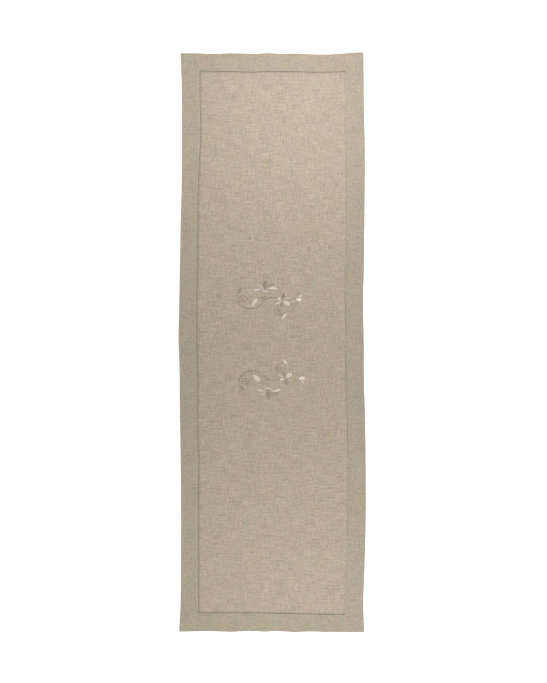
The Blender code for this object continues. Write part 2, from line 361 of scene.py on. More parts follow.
# each thread: two dyed tones, 0-255, and the size of their patches in millimetres
threads = {
    "white": ((243, 230, 213), (229, 216, 199), 6),
    "silver": ((219, 213, 199), (225, 215, 200), 5),
    "cream": ((232, 218, 198), (220, 205, 178), 6),
    "fawn": ((222, 206, 178), (206, 190, 158), 6),
    "haze": ((208, 199, 184), (216, 206, 190), 5),
    "snow": ((255, 243, 226), (246, 233, 215), 6),
    "ivory": ((238, 226, 211), (224, 211, 194), 6),
    "olive": ((158, 145, 116), (166, 154, 130), 4),
    "brown": ((162, 147, 126), (170, 158, 134), 4),
    "taupe": ((160, 146, 131), (152, 139, 126), 5),
    "teal": ((160, 153, 139), (168, 159, 143), 5),
    "mist": ((172, 157, 138), (164, 150, 129), 5),
    "faint": ((188, 174, 155), (180, 166, 147), 5),
    "stem": ((152, 138, 112), (160, 146, 115), 18),
    "umber": ((130, 116, 98), (139, 125, 106), 8),
    "bark": ((144, 129, 111), (152, 137, 117), 18),
    "rose": ((170, 154, 137), (164, 148, 128), 12),
    "gilt": ((186, 168, 130), (176, 158, 124), 8),
    # the ladder tones are painted shade: the drawn-thread groove is darkened, most at the top and bottom
    # ends, least at the right side
    "ladder": ((54, 44, 25), (42, 34, 19), 12),
    "ladderShadeBottom": ((54, 46, 30), (44, 37, 24), 12),
    "ladderShadeLeft": ((140, 128, 108), (130, 119, 100), 12),
    "ladderShadeRightMiddle": ((134, 118, 95), (124, 109, 87), 12),
    "ladderShadeRight": ((178, 165, 145), (166, 153, 134), 12),
    # the hemstitch tones are the thread's own pale colour plus a painted highlight along the ridge; the
    # right side's paler one is painted light
    "hemstitch": ((230, 219, 202), (220, 208, 190), 20),
    "hemstitchPaintedLight": ((248, 236, 218), (236, 224, 206), 20),
    "yarn": ((168, 152, 132), (184, 168, 146), 9),
    "darkYarn": ((80, 75, 58), (92, 86, 68), 9),
}
threadSheen = {"ladder": 0.04, "ladderShadeBottom": 0.04}     # the others have the usual 0.2
threadMaterials = {}


def threadMaterial(kind):
    if kind not in threadMaterials:
        first, second, patch = threads[kind]
        values = {"Thread Color": tone(*first), "Second Color": tone(*second), "Patch": patch * mm}
        threadMaterials[kind] = finishedMaterial(
            "thread_" + kind, threadGroup, values, bumpHeights["thread"], threadSheen.get(kind, 0.2),
            {"Place": "Object", "Along": "UV"})
    return threadMaterials[kind]


def newMesh(name, bm):
    mesh = bpy.data.meshes.new(name)
    bm.to_mesh(mesh)
    bm.free()
    return mesh


def newObject(name, content):
    made = bpy.data.objects.new(name, content)
    bpy.context.scene.collection.objects.link(made)
    return made


def newPiece(name, bm, materials, nodes):
    mesh = newMesh(name, bm)
    piece = newObject(name, mesh)
    for material in materials:
        mesh.materials.append(material)
    mesh.shade_smooth()
    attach(piece, "root")
    if nodes:
        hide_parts(*nodes)
    return piece


def giveThickness(piece, thickness):
    shell = piece.modifiers.new("clothThickness", "SOLIDIFY")
    shell.thickness = thickness
    shell.offset = -1
    shell.use_even_offset = True


def setCloth(bm, flatPlace):
    # write the flat place into the cloth's UV map, then lay every point
    uvLayer = bm.loops.layers.uv.new("cloth")
    for face in bm.faces:
        for loop in face.loops:
            loop[uvLayer].uv = flatPlace(loop.vert)
    for vert in bm.verts:
        vert.co = laid(*vert.co)


def makeField():
    bm = bmesh.new()
    bmesh.ops.create_grid(bm, x_segments=round(2 * fieldX / cloth["step"]),
                          y_segments=round(2 * fieldY / cloth["step"]), size=1.0)
    bmesh.ops.scale(bm, vec=(fieldX, fieldY, 1.0), verts=bm.verts)
    bmesh.ops.translate(bm, vec=(0, 0, cloth["face"]), verts=bm.verts)
    setCloth(bm, lambda vert: (vert.co.x, vert.co.y))
    field = newPiece("linen_field", bm, [linenMaterial("field")], ["field_panel"])
    giveThickness(field, cloth["layer"])
    return field


def grown(bm, ring):
    # the next ring of edges and vertices, grown from a ring of edges
    made = bmesh.ops.extrude_edge_only(bm, edges=ring)["geom"]
    return ([part for part in made if isinstance(part, bmesh.types.BMEdge)],
            [part for part in made if isinstance(part, bmesh.types.BMVert)])


def faceTheWay(bm, way, isSeen):
    # turn the faces so that the seen ones look up (1) or down (-1)
    bmesh.ops.recalc_face_normals(bm, faces=bm.faces)
    if sum(face.normal.z for face in bm.faces if isSeen(face.calc_center_median().z)) * way < 0:
        bmesh.ops.reverse_faces(bm, faces=bm.faces)


# the folded border, seen in section from the hemstitch line outwards, in metres
border = {
    "crown": 0.18 * mm,      # the face stands a little proud where three layers lie under it
    "tuck": 10 * mm,         # width of the allowance folded in under the face
    "under": 1.5 * mm,       # how far the roll comes round underneath
    "rollSteps": 8,
}


def borderSection():
    # (outwards, height, length along the cloth)
    roll = cloth["face"] / 2
    flat = cloth["hem"] - roll
    section = []
    steps = round(flat / cloth["step"]) + 2
    for index in range(steps + 1):
        out = flat * index / steps
        crown = border["crown"] * (1 - ease((out - border["tuck"] / 2) / border["tuck"]))
        section.append((out, cloth["face"] + crown - border["crown"], out))
    for index in range(1, border["rollSteps"] + 1):
        turn = math.pi * index / border["rollSteps"]
        section.append((flat + roll * math.sin(turn), roll + roll * math.cos(turn), flat + roll * turn))
    run = flat + roll * math.pi
    section.append((cloth["hem"] - border["under"], 0.0, run + border["under"] - roll))
    return section


def makeBand():
    bm = bmesh.new()
    bmesh.ops.create_grid(bm, x_segments=1, y_segments=1, size=1.0)
    bmesh.ops.delete(bm, geom=bm.faces[:], context="FACES_ONLY")
    level = [edge for edge in bm.edges if abs(edge.verts[0].co.y - edge.verts[1].co.y) < 0.1]
    upright = [edge for edge in bm.edges if edge not in level]
    bmesh.ops.subdivide_edges(bm, edges=level, cuts=round(2 * innerX / cloth["step"]) - 1)
    bmesh.ops.subdivide_edges(bm, edges=upright, cuts=round(2 * innerY / cloth["step"]) - 1)
    flat = {}

    def setRing(verts, out, height, along):
        for vert in verts:
            flat[vert] = (vert.co.x, vert.co.y, out, height, along)

    section = borderSection()
    ring = bm.edges[:]
    setRing(bm.verts, *section[0])
    for place in section[1:]:
        ring, fresh = grown(bm, ring)
        setRing(fresh, *place)
    for vert, (unitX, unitY, out, height, along) in flat.items():
        inX, inY = (cloth["fraySides"], cloth["frayEnds"]) if along == 0 else (0, 0)
        vert.co = (unitX * (innerX + out - inX), unitY * (innerY + out - inY), height)
    faceTheWay(bm, 1, lambda height: height > cloth["face"] - cloth["layer"])
    setCloth(bm, lambda vert: (flat[vert][0] * (innerX + flat[vert][4]),
                               flat[vert][1] * (innerY + flat[vert][4])))
    band = newPiece("border_face", bm, [linenMaterial("border")], ["border_band"])
    giveThickness(band, cloth["layer"])
    return band


sides = {
    "top": {"turn": 0.0, "run": halfX, "reach": halfY},
    "left": {"turn": math.pi / 2, "run": halfY, "reach": halfX},
    "bottom": {"turn": math.pi, "run": halfX, "reach": halfY},
    "right": {"turn": -math.pi / 2, "run": halfY, "reach": halfX},
}


def turned(side, along, reach):
    # a place beside one edge, counted along the edge and out from the middle
    turn = sides[side]["turn"]
    return (along * math.cos(turn) - reach * math.sin(turn),
            along * math.sin(turn) + reach * math.cos(turn))


hemBack = {
    "gap": 0.15 * mm,        # air between the roll and the hem back
    "mitre": 0.15 * mm,      # open width of the corner mitre, along the edge
    "past": 2.1 * mm,        # the inner fold runs on under the drawn threads
    "allowance": 10 * mm,
    "foldSteps": 6,
    "thin": 0.9,             # its cloth, as a share of a layer
}


def hemBackSection():
    # (in from the outer fold, height, length along the cloth)
    start = border["under"] + hemBack["gap"]
    fold = cloth["hemBack"] / 2
    end = cloth["hem"] + hemBack["past"] - fold
    steps = round((end - start) / cloth["step"])
    section = [(start + (end - start) * index / steps, 0.0, (end - start) * index / steps)
               for index in range(steps + 1)]
    for index in range(1, hemBack["foldSteps"] + 1):
        turn = math.pi * index / hemBack["foldSteps"]
        section.append((end + fold * math.sin(turn), fold - fold * math.cos(turn),
                        end - start + fold * turn))
    run = end - start + fold * math.pi
    for share in (0.5, 1.0):
        section.append((end - hemBack["allowance"] * share, cloth["hemBack"],
                        run + hemBack["allowance"] * share))
    return section


def makeHemBack(side):
    run, reach = sides[side]["run"], sides[side]["reach"]
    section = hemBackSection()
    bm = bmesh.new()
    ends = [bm.verts.new((share, 0, 0)) for share in (-1, 1)]
    first = bm.edges.new(ends)
    bmesh.ops.subdivide_edges(bm, edges=[first], cuts=round(2 * run / cloth["step"]) - 1)
    flat = {vert: (vert.co.x, section[0]) for vert in bm.verts}
    ring = bm.edges[:]
    for place in section[1:]:
        ring, fresh = grown(bm, ring)
        flat.update({vert: (vert.co.x, place) for vert in fresh})
    for vert, (share, (inset, height, along)) in flat.items():
        vert.co = (*turned(side, share * (run - inset - hemBack["mitre"]), reach - inset), height)
    faceTheWay(bm, -1, lambda height: height < cloth["hemBack"] / 2)

    def flatPlace(vert):
        share, (inset, height, along) = flat[vert]
        return turned(side, share * (run - inset - hemBack["mitre"]), reach + along)

    setCloth(bm, flatPlace)
    # its linen is darkened as painted shade
    back = newPiece("hem_back_of_" + side, bm, [linenMaterial("back")],
                    ["hem_back_" + side])
    giveThickness(back, cloth["layer"] * hemBack["thin"])


def threadTemplate(name, rings, sides, shape):
    # one straight thread from 0 to 1 along X, radius 1, shaped along its run
    bm = bmesh.new()
    bmesh.ops.create_cone(bm, cap_ends=True, segments=sides, radius1=1, radius2=1, depth=1)
    lengthwise = [edge for edge in bm.edges if abs(edge.verts[0].co.z - edge.verts[1].co.z) > 0.5]
    bmesh.ops.subdivide_edges(bm, edges=lengthwise, cuts=rings - 2)
    uvLayer = bm.loops.layers.uv.new("thread")
    for face in bm.faces:
        for loop in face.loops:
            spot = loop.vert.co
            angle = math.atan2(spot.y, spot.x) / (2 * math.pi)
            middle = face.calc_center_median()
            if angle < 0 and math.atan2(middle.y, middle.x) > 0:
                angle += 1
            loop[uvLayer].uv = (spot.z + 0.5, angle)
    for vert in bm.verts:
        along = vert.co.z + 0.5
        size = shape(along)
        vert.co = (along, vert.co.x * size, vert.co.y * size)
    return newMesh(name, bm)


stitchTemplate = threadTemplate("stitch", 6, 6, lambda s: 0.55 + 0.45 * math.sin(math.pi * s) ** 0.5)
bundleTemplate = threadTemplate("bundle", 5, 6, lambda s: 0.58 + 0.42 * abs(2 * s - 1) ** 1.5)
slubTemplate = threadTemplate("slub", 7, 6, lambda s: 0.12 + 0.88 * math.sin(math.pi * s) ** 2)


def sewThreads(bm, template, runs):
    # a run is (points, half width, half height, finish), with a point for each ring
    firstVert, firstFace = len(bm.verts), len(bm.faces)
    for _ in runs:
        bm.from_mesh(template)
    bm.verts.ensure_lookup_table()
    bm.faces.ensure_lookup_table()
    perVerts, perFaces = len(template.vertices), len(template.polygons)
    last = len(runs[0][0]) - 1
    shape = [(round(vert.co.x * last), vert.co.y, vert.co.z) for vert in template.vertices]
    for number, (points, wide, high, finish) in enumerate(runs):
        frames = []
        for index, point in enumerate(points):
            way = (points[min(index + 1, last)] - points[max(index - 1, 0)]).normalized()
            aside = Vector((-way.y, way.x, 0)).normalized()
            frames.append((point, aside * wide, way.cross(aside) * high))
        start = firstVert + number * perVerts
        for offset, (ring, across, up) in enumerate(shape):
            point, aside, tall = frames[ring]
            bm.verts[start + offset].co = point + aside * across + tall * up
        start = firstFace + number * perFaces
        for offset in range(perFaces):
            bm.faces[start + offset].material_index = finish


def sewPiece(name, template, runs, kinds, nodes):
    bm = bmesh.new()
    sewThreads(bm, template, runs)
    newPiece(name, bm, [threadMaterial(kind) for kind in kinds], nodes)


ladder = {
    "spacing": 1.7 * mm,
    "overlap": 0.5 * mm,     # the yarns run on into the cloth at both ends
    "halfHeight": 0.14 * mm,
    "slant": 0.15 * mm,
    "sides": {                # finish of the yarns, darker as painted shade at the ends than at the sides, and half the width of a bundle
        "top": ("ladder", 0.74 * mm), "bottom": ("ladderShadeBottom", 0.70 * mm),
        "left": ("ladderShadeLeft", 0.70 * mm), "right": ("ladderShadeRight", 0.80 * mm),
    },
    "middle": {"right": ["ladderShadeRightMiddle"]},  # a second, darker finish along the middle of a side: painted shade
    "middleEnds": (-0.43, 0.11),
}


def ladderPlaces(side, extra):
    # the middles of the bundles, with a few more past the ends for the corners
    run = sides[side]["run"] - cloth["hem"] - cloth["channel"]
    count = round(2 * run / ladder["spacing"])
    return [-run + (index + 0.5) * 2 * run / count for index in range(-extra, count + extra)]


def makeOpenwork(side):
    # groups of bare yarns drawn together at their waists
    rng = random.Random("openwork" + side)
    # the finish carries the side's painted shade
    kind, halfWidth = ladder["sides"][side]
    kinds = [kind] + ladder["middle"].get(side, [])
    middleStart, middleEnd = ladder["middleEnds"]
    line = sides[side]["reach"] - cloth["hem"]
    start = line - cloth["channel"] - ladder["overlap"]
    end = line + ladder["overlap"]
    height = cloth["face"] - cloth["layer"] / 2
    runs = []
    for along in ladderPlaces(side, 1):
        slant = rng.uniform(-1, 1) * ladder["slant"]
        points = []
        for ring in range(5):
            share = ring / 4
            spot = turned(side, along + slant * (2 * share - 1), start + (end - start) * share)
            points.append(laid(*spot, height))
        isMiddle = len(kinds) > 1 and middleStart < points[0].y < middleEnd
        runs.append((points, halfWidth * rng.uniform(0.92, 1.08), ladder["halfHeight"], int(isMiddle)))
    sewPiece("openwork_of_" + side, bundleTemplate, runs, kinds, ["openwork_" + side])


# each kind of stitch: how far back along the edge it starts, as a share of the spacing, where it
# starts and ends out from the hemstitch line, its ends' height above the face, and its arch
hemstitch = {
    "radius": 0.21 * mm,
    "sway": 0.03 * mm,
    "into": (0.0, -0.8 * mm, 1.5 * mm, -0.10 * mm, 0.16 * mm),
    "beside": (0.96, -0.30 * mm, -0.18 * mm, 0.02 * mm, 0.22 * mm),
    "inner": (0.80, 0.35 * mm - cloth["channel"], 0.45 * mm - cloth["channel"], -0.08 * mm, 0.16 * mm),
    # the right side's paler finish is painted light
    "kinds": {"top": "hemstitch", "bottom": "hemstitch", "left": "hemstitch", "right": "hemstitchPaintedLight"},
}


def makeHemstitch(side):
    # for every bundle, one stitch into the border and one along its edge, and one along the field
    rng = random.Random("hemstitch" + side)
    line = sides[side]["reach"] - cloth["hem"]
    spacing = ladder["spacing"]
    runs = []
    for along in ladderPlaces(side, 2):
        along += spacing / 2
        inField = abs(along) < sides[side]["run"] - cloth["hem"] - cloth["channel"]
        if abs(along) > sides[side]["run"] - cloth["hem"]:
            continue
        for kind in ("into", "beside", "inner") if inField else ("into", "beside"):
            back, start, end, height, arch = hemstitch[kind]
            points = []
            for ring in range(6):
                share = ring / 5
                sway = rng.uniform(-1, 1) * hemstitch["sway"] if kind == "into" else 0.0
                spot = turned(side, along + sway - spacing * back * (1 - share),
                              line + start + (end - start) * share)
                points.append(laid(*spot, cloth["face"] + height + arch * math.sin(math.pi * share)))
            runs.append((points, hemstitch["radius"], hemstitch["radius"] * 0.8, 0))
    sewPiece("hemstitch_of_" + side, stitchTemplate, runs, [hemstitch["kinds"][side]],
             ["hemstitch_" + side])


mitreSeam = {
    "spacing": 3.2 * mm,
    "ends": (3 * mm, 2 * mm),    # bare length at the corner and at the hemstitch line
    "stitch": 3.0 * mm,
    "lean": 0.6 * mm,
    "height": 0.12 * mm,         # of a stitch's middle
    "rise": 1.3 * mm,            # its ends rise into the cloth by a quarter of this
    "sway": 0.05 * mm,
    "radii": (0.16 * mm, 0.12 * mm),
}


def makeMitreSeam(nameY, nameX, signY, signX):
    # small slanting stitches across the corner mitre, underneath
    name = f"slip_stitches_{nameY}_{nameX}"
    rng = random.Random(name)
    first, last = mitreSeam["ends"][0], cloth["hem"] - mitreSeam["ends"][1]
    count = int((last - first) * math.sqrt(2) / mitreSeam["spacing"])
    runs = []
    for index in range(count):
        inset = first + (last - first) * index / (count - 1)
        points = []
        for ring in range(6):
            share = ring / 5 - 0.5
            reach = mitreSeam["stitch"] * share * 0.7
            lean = rng.uniform(-1, 1) * mitreSeam["sway"] + mitreSeam["lean"] * share
            height = mitreSeam["height"] + mitreSeam["rise"] * share * share
            points.append(laid(signX * (halfX - inset + lean + reach),
                               signY * (halfY - inset + lean - reach), height))
        runs.append((points, *mitreSeam["radii"], 0))
    sewPiece(name, stitchTemplate, runs, ["hemstitch"], [f"mitre_seam_{nameY}_{nameX}"])


# the embroidery is drawn in millimetres on the flat runner
# a petal runs from base to tip; bow swings its middle to the left, belly is where it is widest
petals = {
    "lily_left": {"wide": 5.4, "belly": 0.64, "top": ((-18.6, 117.2), (-40.6, 113.2), -0.4, "silver"),
        "bottom": ((-13.4, -107.0), (-34.8, -104.2), 1.3, "silver")},
    "lily_upper": {"wide": 4.6, "belly": 0.6, "top": ((-17.6, 116.4), (-34.0, 128.4), 0.3, "haze"),
        "bottom": ((-11.6, -107.6), (-25.0, -118.8), -0.3, "haze")},
    "lily_middle": {"wide": 8.4, "belly": 0.52, "top": ((-14.6, 117.4), (-14.4, 134.0), 0.0, "olive"),
        "bottom": ((-8.6, -105.0), (-6.8, -125.6), 0.0, "brown")},
    "lily_right": {"wide": 5.2, "belly": 0.68, "top": ((-12.6, 115.8), (12.4, 117.4), 2.0, "white"),
        "bottom": ((-5.6, -106.4), (18.2, -103.4), -2.4, "white")},
    "lily_back": {"wide": 3.2, "belly": 0.5, "top": ((-8.6, 122.6), (6.4, 128.6), 0.8, "mist"),
        "bottom": ((-1.0, -111.4), (13.6, -110.8), -2.8, "faint")},
    "star_outer": {"wide": 6.6, "belly": 0.64, "top": ((22.9, 93.2), (26.8, 106.6), 0.0, "taupe"),
        "bottom": ((29.6, -81.2), (34.4, -93.8), 0.0, "teal")},
    "star_upper": {"wide": 4.4, "belly": 0.66, "top": ((23.8, 91.6), (42.2, 98.2), 2.0, "haze"),
        "bottom": ((29.6, -80.0), (46.4, -84.6), -1.0, "haze")},
    "star_cream": {"wide": 8.2, "belly": 0.62, "top": ((23.6, 90.2), (39.8, 81.0), 0.5, "ivory"),
        "bottom": ((29.2, -78.6), (44.2, -68.2), -0.4, "ivory")},
    "star_left": {"wide": 3.8, "belly": 0.6, "top": ((21.2, 91.6), (12.0, 96.8), 0.0, "snow"),
        "bottom": ((27.6, -79.8), (17.6, -83.8), 0.0, "snow")},
    "star_inner": {"wide": 3.8, "belly": 0.62, "top": ((21.2, 89.8), (8.2, 83.2), 0.0, "white"),
        "bottom": ((27.2, -78.6), (13.6, -71.0), 0.0, "silver")},
    "star_lower": {"wide": 5.0, "belly": 0.64, "top": ((21.9, 89.2), (20.4, 78.4), 0.0, "mist"),
        "bottom": ((27.9, -77.2), (25.2, -65.8), 0.0, "teal")},
    "leaf": {"wide": 9.8, "belly": 0.42, "top": ((-33.0, 96.8), (-46.2, 79.4), 0.0, "ivory"),
        "bottom": ((-26.6, -86.6), (-41.4, -72.4), 0.0, "cream"),
        "half": {"top": "fawn", "bottom": "white"}},
    "sprig": {"wide": 5.8, "belly": 0.5, "top": ((-75.0, 106.0), (-67.2, 118.2), 0.6, "mist"),
        "bottom": ((-69.8, -97.0), (-62.4, -106.6), 0.5, "mist")},
    "bud_cup": {"wide": 6.2, "belly": 0.5, "top": ((53.8, 96.8), (66.2, 95.4), -3.4, "snow"),
        "bottom": ((59.2, -82.8), (72.0, -81.0), 3.2, "snow")},
    "bud_tip": {"wide": 5.4, "belly": 0.45, "top": ((58.8, 95.0), (65.4, 105.4), 0.0, "cream"),
        "bottom": ((64.8, -82.2), (70.0, -91.8), 0.0, "cream")},
    "hanging_bud": {"wide": 6.9, "belly": 0.42, "top": ((30.6, 64.0), (19.6, 48.6), 0.0, "ivory"),
        "bottom": ((33.8, -50.4), (22.0, -36.4), 0.0, "fawn"),
        "half": {"top": "fawn", "bottom": "ivory"}},
}

# small details are sewn with a neighbour, whose node stands for them
details = {
    "throat": {"wide": 3.8, "belly": 0.5, "with": "lily_middle",
        "top": ((-23.0, 117.6), (-8.4, 115.0), -5.6, "silver"),
        "bottom": ((-17.0, -105.8), (-1.2, -106.4), 4.9, "silver")},
    "side_leaf": {"wide": 4.2, "belly": 0.45, "with": "leaf_stem",
        "top": ((-14.4, 93.4), (-19.4, 102.8), 0.0, "gilt")},
    "curl_leaf": {"wide": 3.4, "belly": 0.45, "with": "spiral",
        "bottom": ((-56.4, -90.8), (-51.4, -93.6), 0.0, "mist")},
    "vine_knot": {"wide": 3.2, "belly": 0.5, "with": "vine",
        "top": ((-42.8, 76.8), (-37.4, 79.4), 0.0, "fawn")},
    "star_centre": {"wide": 2.6, "belly": 0.5, "with": "star_outer",
        "top": ((21.4, 89.0), (23.4, 93.2), 0.0, "teal"),
        "bottom": ((27.6, -77.4), (29.6, -81.2), 0.0, "teal")},
}

# lines of stem stitch: the width, each thread with the share of the run where it ends, the points
stems = {
    "vine": {"wide": 1.3,
        "topThreads": [("umber", 0.2), ("faint", 0.36), ("stem", 0.78), ("faint", 1.0)],
        "bottomThreads": [("rose", 0.26), ("faint", 0.4), ("stem", 0.54), ("bark", 0.92),
                          ("faint", 1.0)],
        "top": [(11.0, 97.4), (0.8, 98.2), (-7.8, 96.2), (-15.2, 93.2), (-20.0, 89.2), (-24.2, 83.6),
                (-31.4, 77.4), (-41.6, 73.9), (-52.0, 73.5), (-61.8, 76.1), (-70.2, 81.2),
                (-76.0, 88.4), (-77.2, 96.8), (-75.2, 105.0)],
        "bottom": [(16.4, -83.4), (8.2, -85.3), (-0.5, -84.6), (-9.0, -81.0), (-17.4, -75.0),
                   (-24.0, -69.2), (-32.0, -64.9), (-42.4, -63.2), (-53.0, -64.5), (-62.8, -69.6),
                   (-69.6, -77.2), (-72.2, -86.0), (-70.4, -95.6)]},
    "branch": {"wide": 0.9, "with": "vine",
        "topThreads": [("faint", 1.0)], "bottomThreads": [("faint", 1.0)],
        "top": [(-12.8, 94.4), (-14.4, 101.0), (-14.6, 107.0), (-14.2, 112.0)],
        "bottom": [(-7.6, -81.8), (-8.8, -88.0), (-9.2, -94.0), (-9.0, -100.4)]},
    "spiral": {"wide": 1.4,
        "topThreads": [("stem", 1.0)], "bottomThreads": [("rose", 0.3), ("faint", 0.7), ("rose", 1.0)],
        "top": [(-77.0, 91.4), (-73.4, 89.6), (-65.9, 89.0), (-58.7, 90.3), (-54.1, 94.6),
                (-56.5, 99.7), (-62.4, 102.2), (-69.0, 100.7), (-70.6, 96.2), (-66.2, 93.4),
                (-61.4, 94.6)],
        "bottom": [(-71.5, -84.3), (-67.5, -81.0), (-61.5, -79.6), (-55.5, -80.6), (-51.6, -84.0),
                   (-51.4, -88.4), (-54.8, -92.0), (-60.4, -92.8), (-64.8, -90.6), (-66.0, -87.0),
                   (-63.2, -84.8), (-59.0, -86.0)]},
    "leaf_stem": {"wide": 1.1,
        "topThreads": [("bark", 1.0)], "bottomThreads": [("faint", 1.0)],
        "top": [(-16.4, 93.0), (-22.4, 96.0), (-28.4, 97.6), (-33.6, 96.6)],
        "bottom": [(-9.4, -81.4), (-14.0, -83.6), (-19.6, -86.4), (-27.0, -86.8)]},
    "hanging_curl": {"wide": 1.5,
        "topThreads": [("rose", 0.35), ("gilt", 1.0)], "bottomThreads": [("gilt", 1.0)],
        "top": [(28.6, 65.8), (22.6, 61.7), (15.0, 60.9), (8.2, 64.0), (5.2, 69.0), (7.8, 73.0),
                (13.2, 74.0), (17.2, 70.8), (15.4, 67.0), (11.6, 68.2)],
        "bottom": [(29.5, -47.5), (25.5, -46.2), (19.3, -46.5), (13.1, -48.6), (8.9, -53.5),
                   (11.1, -58.6), (16.6, -60.9), (21.4, -57.8), (19.6, -54.1)]},
    "bud_stem": {"wide": 1.0,
        "topThreads": [("rose", 1.0)], "bottomThreads": [("faint", 1.0)],
        "top": [(39.2, 81.2), (45.0, 81.8), (51.0, 83.4), (55.8, 86.0), (59.0, 90.0)],
        "bottom": [(44.0, -68.0), (50.2, -68.4), (56.2, -70.8), (61.0, -74.8), (63.6, -78.4)]},
}

stitching = {
    "sprays": {"top": (2.2, 0.7), "bottom": (0.9, 0.7)},     # how far from its drawing each was sewn, mm
    "plump": 1.14,           # the padding spreads a petal beyond its drawn width
    "spacing": 0.46 * mm,    # between two satin stitches
    "radius": 0.27 * mm,
    "pad": 0.50 * mm,        # height of the padding under a petal
    "padWide": 0.92,         # as a share of the petal
    "padSink": 0.15 * mm,    # how far the padding and the ends of the satin stitches lie in the cloth
    "sink": 0.12 * mm,
    "lean": 0.35,            # slant of the satin stitches
    "splitOver": 6.0,        # petals wider than this are sewn in two halves, mm
    "halfGap": 0.02,         # from a half's stitches to the middle, as a share of the half width
    "wobble": (0.97, 1.03),
    "taper": 0.75,           # powers: lower is blunter
    "dome": 0.6,
    "flat": 0.7,             # height of a satin stitch as a share of its width
}
stemStitch = {
    "grain": 0.3 * mm,       # length of the steps that the line is cut into
    "step": 1.5 * mm,
    "length": 3.6 * mm,
    "shortest": 0.8 * mm,
    "rise": 0.34 * mm,
    "sink": 0.14 * mm,
    "dome": 0.7,
    "wobble": (0.85, 1.15),
    "lean": 0.20,            # shares of the line's width
    "halfWidth": 0.27,
    "halfHeight": 0.24,
}


def petalShape(petal, spray):
    # the spine and the half width of a petal, along its run from 0 to 1
    base, tip, bow, _ = petal[spray]
    shift = Vector(stitching["sprays"][spray])
    base, tip = (Vector(base) + shift) * mm, (Vector(tip) + shift) * mm
    way = tip - base
    aside = Vector((-way.y, way.x)).normalized()
    power = math.log(0.5) / math.log(petal["belly"])

    def spine(t):
        return base + way * t + aside * (bow * mm * math.sin(math.pi * t))

    def half(t):
        swell = math.sin(math.pi * min(max(t, 0), 1) ** power)
        return petal["wide"] * stitching["plump"] * mm / 2 * max(swell, 0) ** stitching["taper"]

    def leftOf(t):
        ahead = spine(min(t + 0.02, 1)) - spine(max(t - 0.02, 0))
        return Vector((-ahead.y, ahead.x)).normalized()

    return spine, half, leftOf, way.length


def padUnder(bm, petal, spray):
    # a low cushion of padding threads, rounded from edge to edge
    spine, half, leftOf, _ = petalShape(petal, spray)
    made = bmesh.ops.create_uvsphere(bm, u_segments=16, v_segments=14, radius=1.0)["verts"]
    for vert in made:
        t = (vert.co.z + 1) / 2
        girth = math.sqrt(max(1 - vert.co.z ** 2, 1e-9))
        side, up = vert.co.x / girth, vert.co.y / girth
        if girth < 0.01:
            side, up = 0.0, 0.0
        share = 0.03 + 0.94 * t
        spot = spine(share) + leftOf(share) * (side * half(share) * stitching["padWide"])
        rise = stitching["pad"] * max(up, -0.2) * min(half(share) / mm, 1.0)
        vert.co = laid(spot.x, spot.y, stitchZ - stitching["padSink"] + rise)


def satinRuns(petal, spray, wild):
    spine, half, leftOf, length = petalShape(petal, spray)
    count = max(int(length / stitching["spacing"]), 4)
    split = petal["wide"] > stitching["splitOver"]
    lean = stitching["lean"] * petal["wide"] * mm / length
    runs = []
    for number in range(count):
        t = (number + 0.5) / count
        gap = stitching["halfGap"]
        parts = ((gap, 1.0, 0), (-gap, -1.0, 1)) if split else ((-1.0, 1.0, 0),)
        for start, end, finish in parts:
            points = []
            for ring in range(6):
                share = ring / 5
                side = start + (end - start) * share
                drift = lean * (abs(side) - 0.3) if split else lean * 0.5 * side
                place = min(max(t + drift, 0.0), 1.0)
                reach = half(place) * side * wild.uniform(*stitching["wobble"])
                spot = spine(place) + leftOf(place) * reach
                along = 0.18 + 0.82 * share if split else share    # a half's stitches start high
                dome = math.sin(math.pi * along) ** stitching["dome"] if 0 < along < 1 else 0.0
                rise = stitching["pad"] * min(half(place) / mm, 1.0)
                points.append(laid(spot.x, spot.y, stitchZ - stitching["sink"] + rise * dome))
            runs.append((points, stitching["radius"], stitching["radius"] * stitching["flat"],
                         finish if "half" in petal else 0))
    return runs


def makePetal(spray, name, petal):
    wild = random.Random(spray + name)
    bm = bmesh.new()
    bm.loops.layers.uv.new("thread")
    sewThreads(bm, stitchTemplate, satinRuns(petal, spray, wild))
    padUnder(bm, petal, spray)
    kind = petal[spray][3]
    finishes = [threadMaterial(kind)]
    if "half" in petal:
        finishes.append(threadMaterial(petal["half"][spray]))
    node = petal.get("with", name)
    newPiece(f"{spray}_{name}_stitches", bm, finishes, [f"{spray}_{node}"])


def smoothRun(points, shift, step):
    # even steps along a smooth curve through the points
    knots = [(Vector(point) + Vector(shift)) * mm for point in points]
    knots = [knots[0] * 2 - knots[1]] + knots + [knots[-1] * 2 - knots[-2]]
    dense = []
    for index in range(1, len(knots) - 2):
        before, start, end, after = knots[index - 1:index + 3]
        for part in range(12):
            t = part / 12
            dense.append(0.5 * (start * 2 + (end - before) * t
                                + (before * 2 - start * 5 + end * 4 - after) * t ** 2
                                + (start * 3 - before - end * 3 + after) * t ** 3))
    dense.append(knots[-2])
    run = [dense[0]]
    walked = 0.0
    for here, there in zip(dense, dense[1:]):
        length = (there - here).length
        while walked + length >= step * len(run):
            run.append(here.lerp(there, (step * len(run) - walked) / length))
        walked += length
    return run


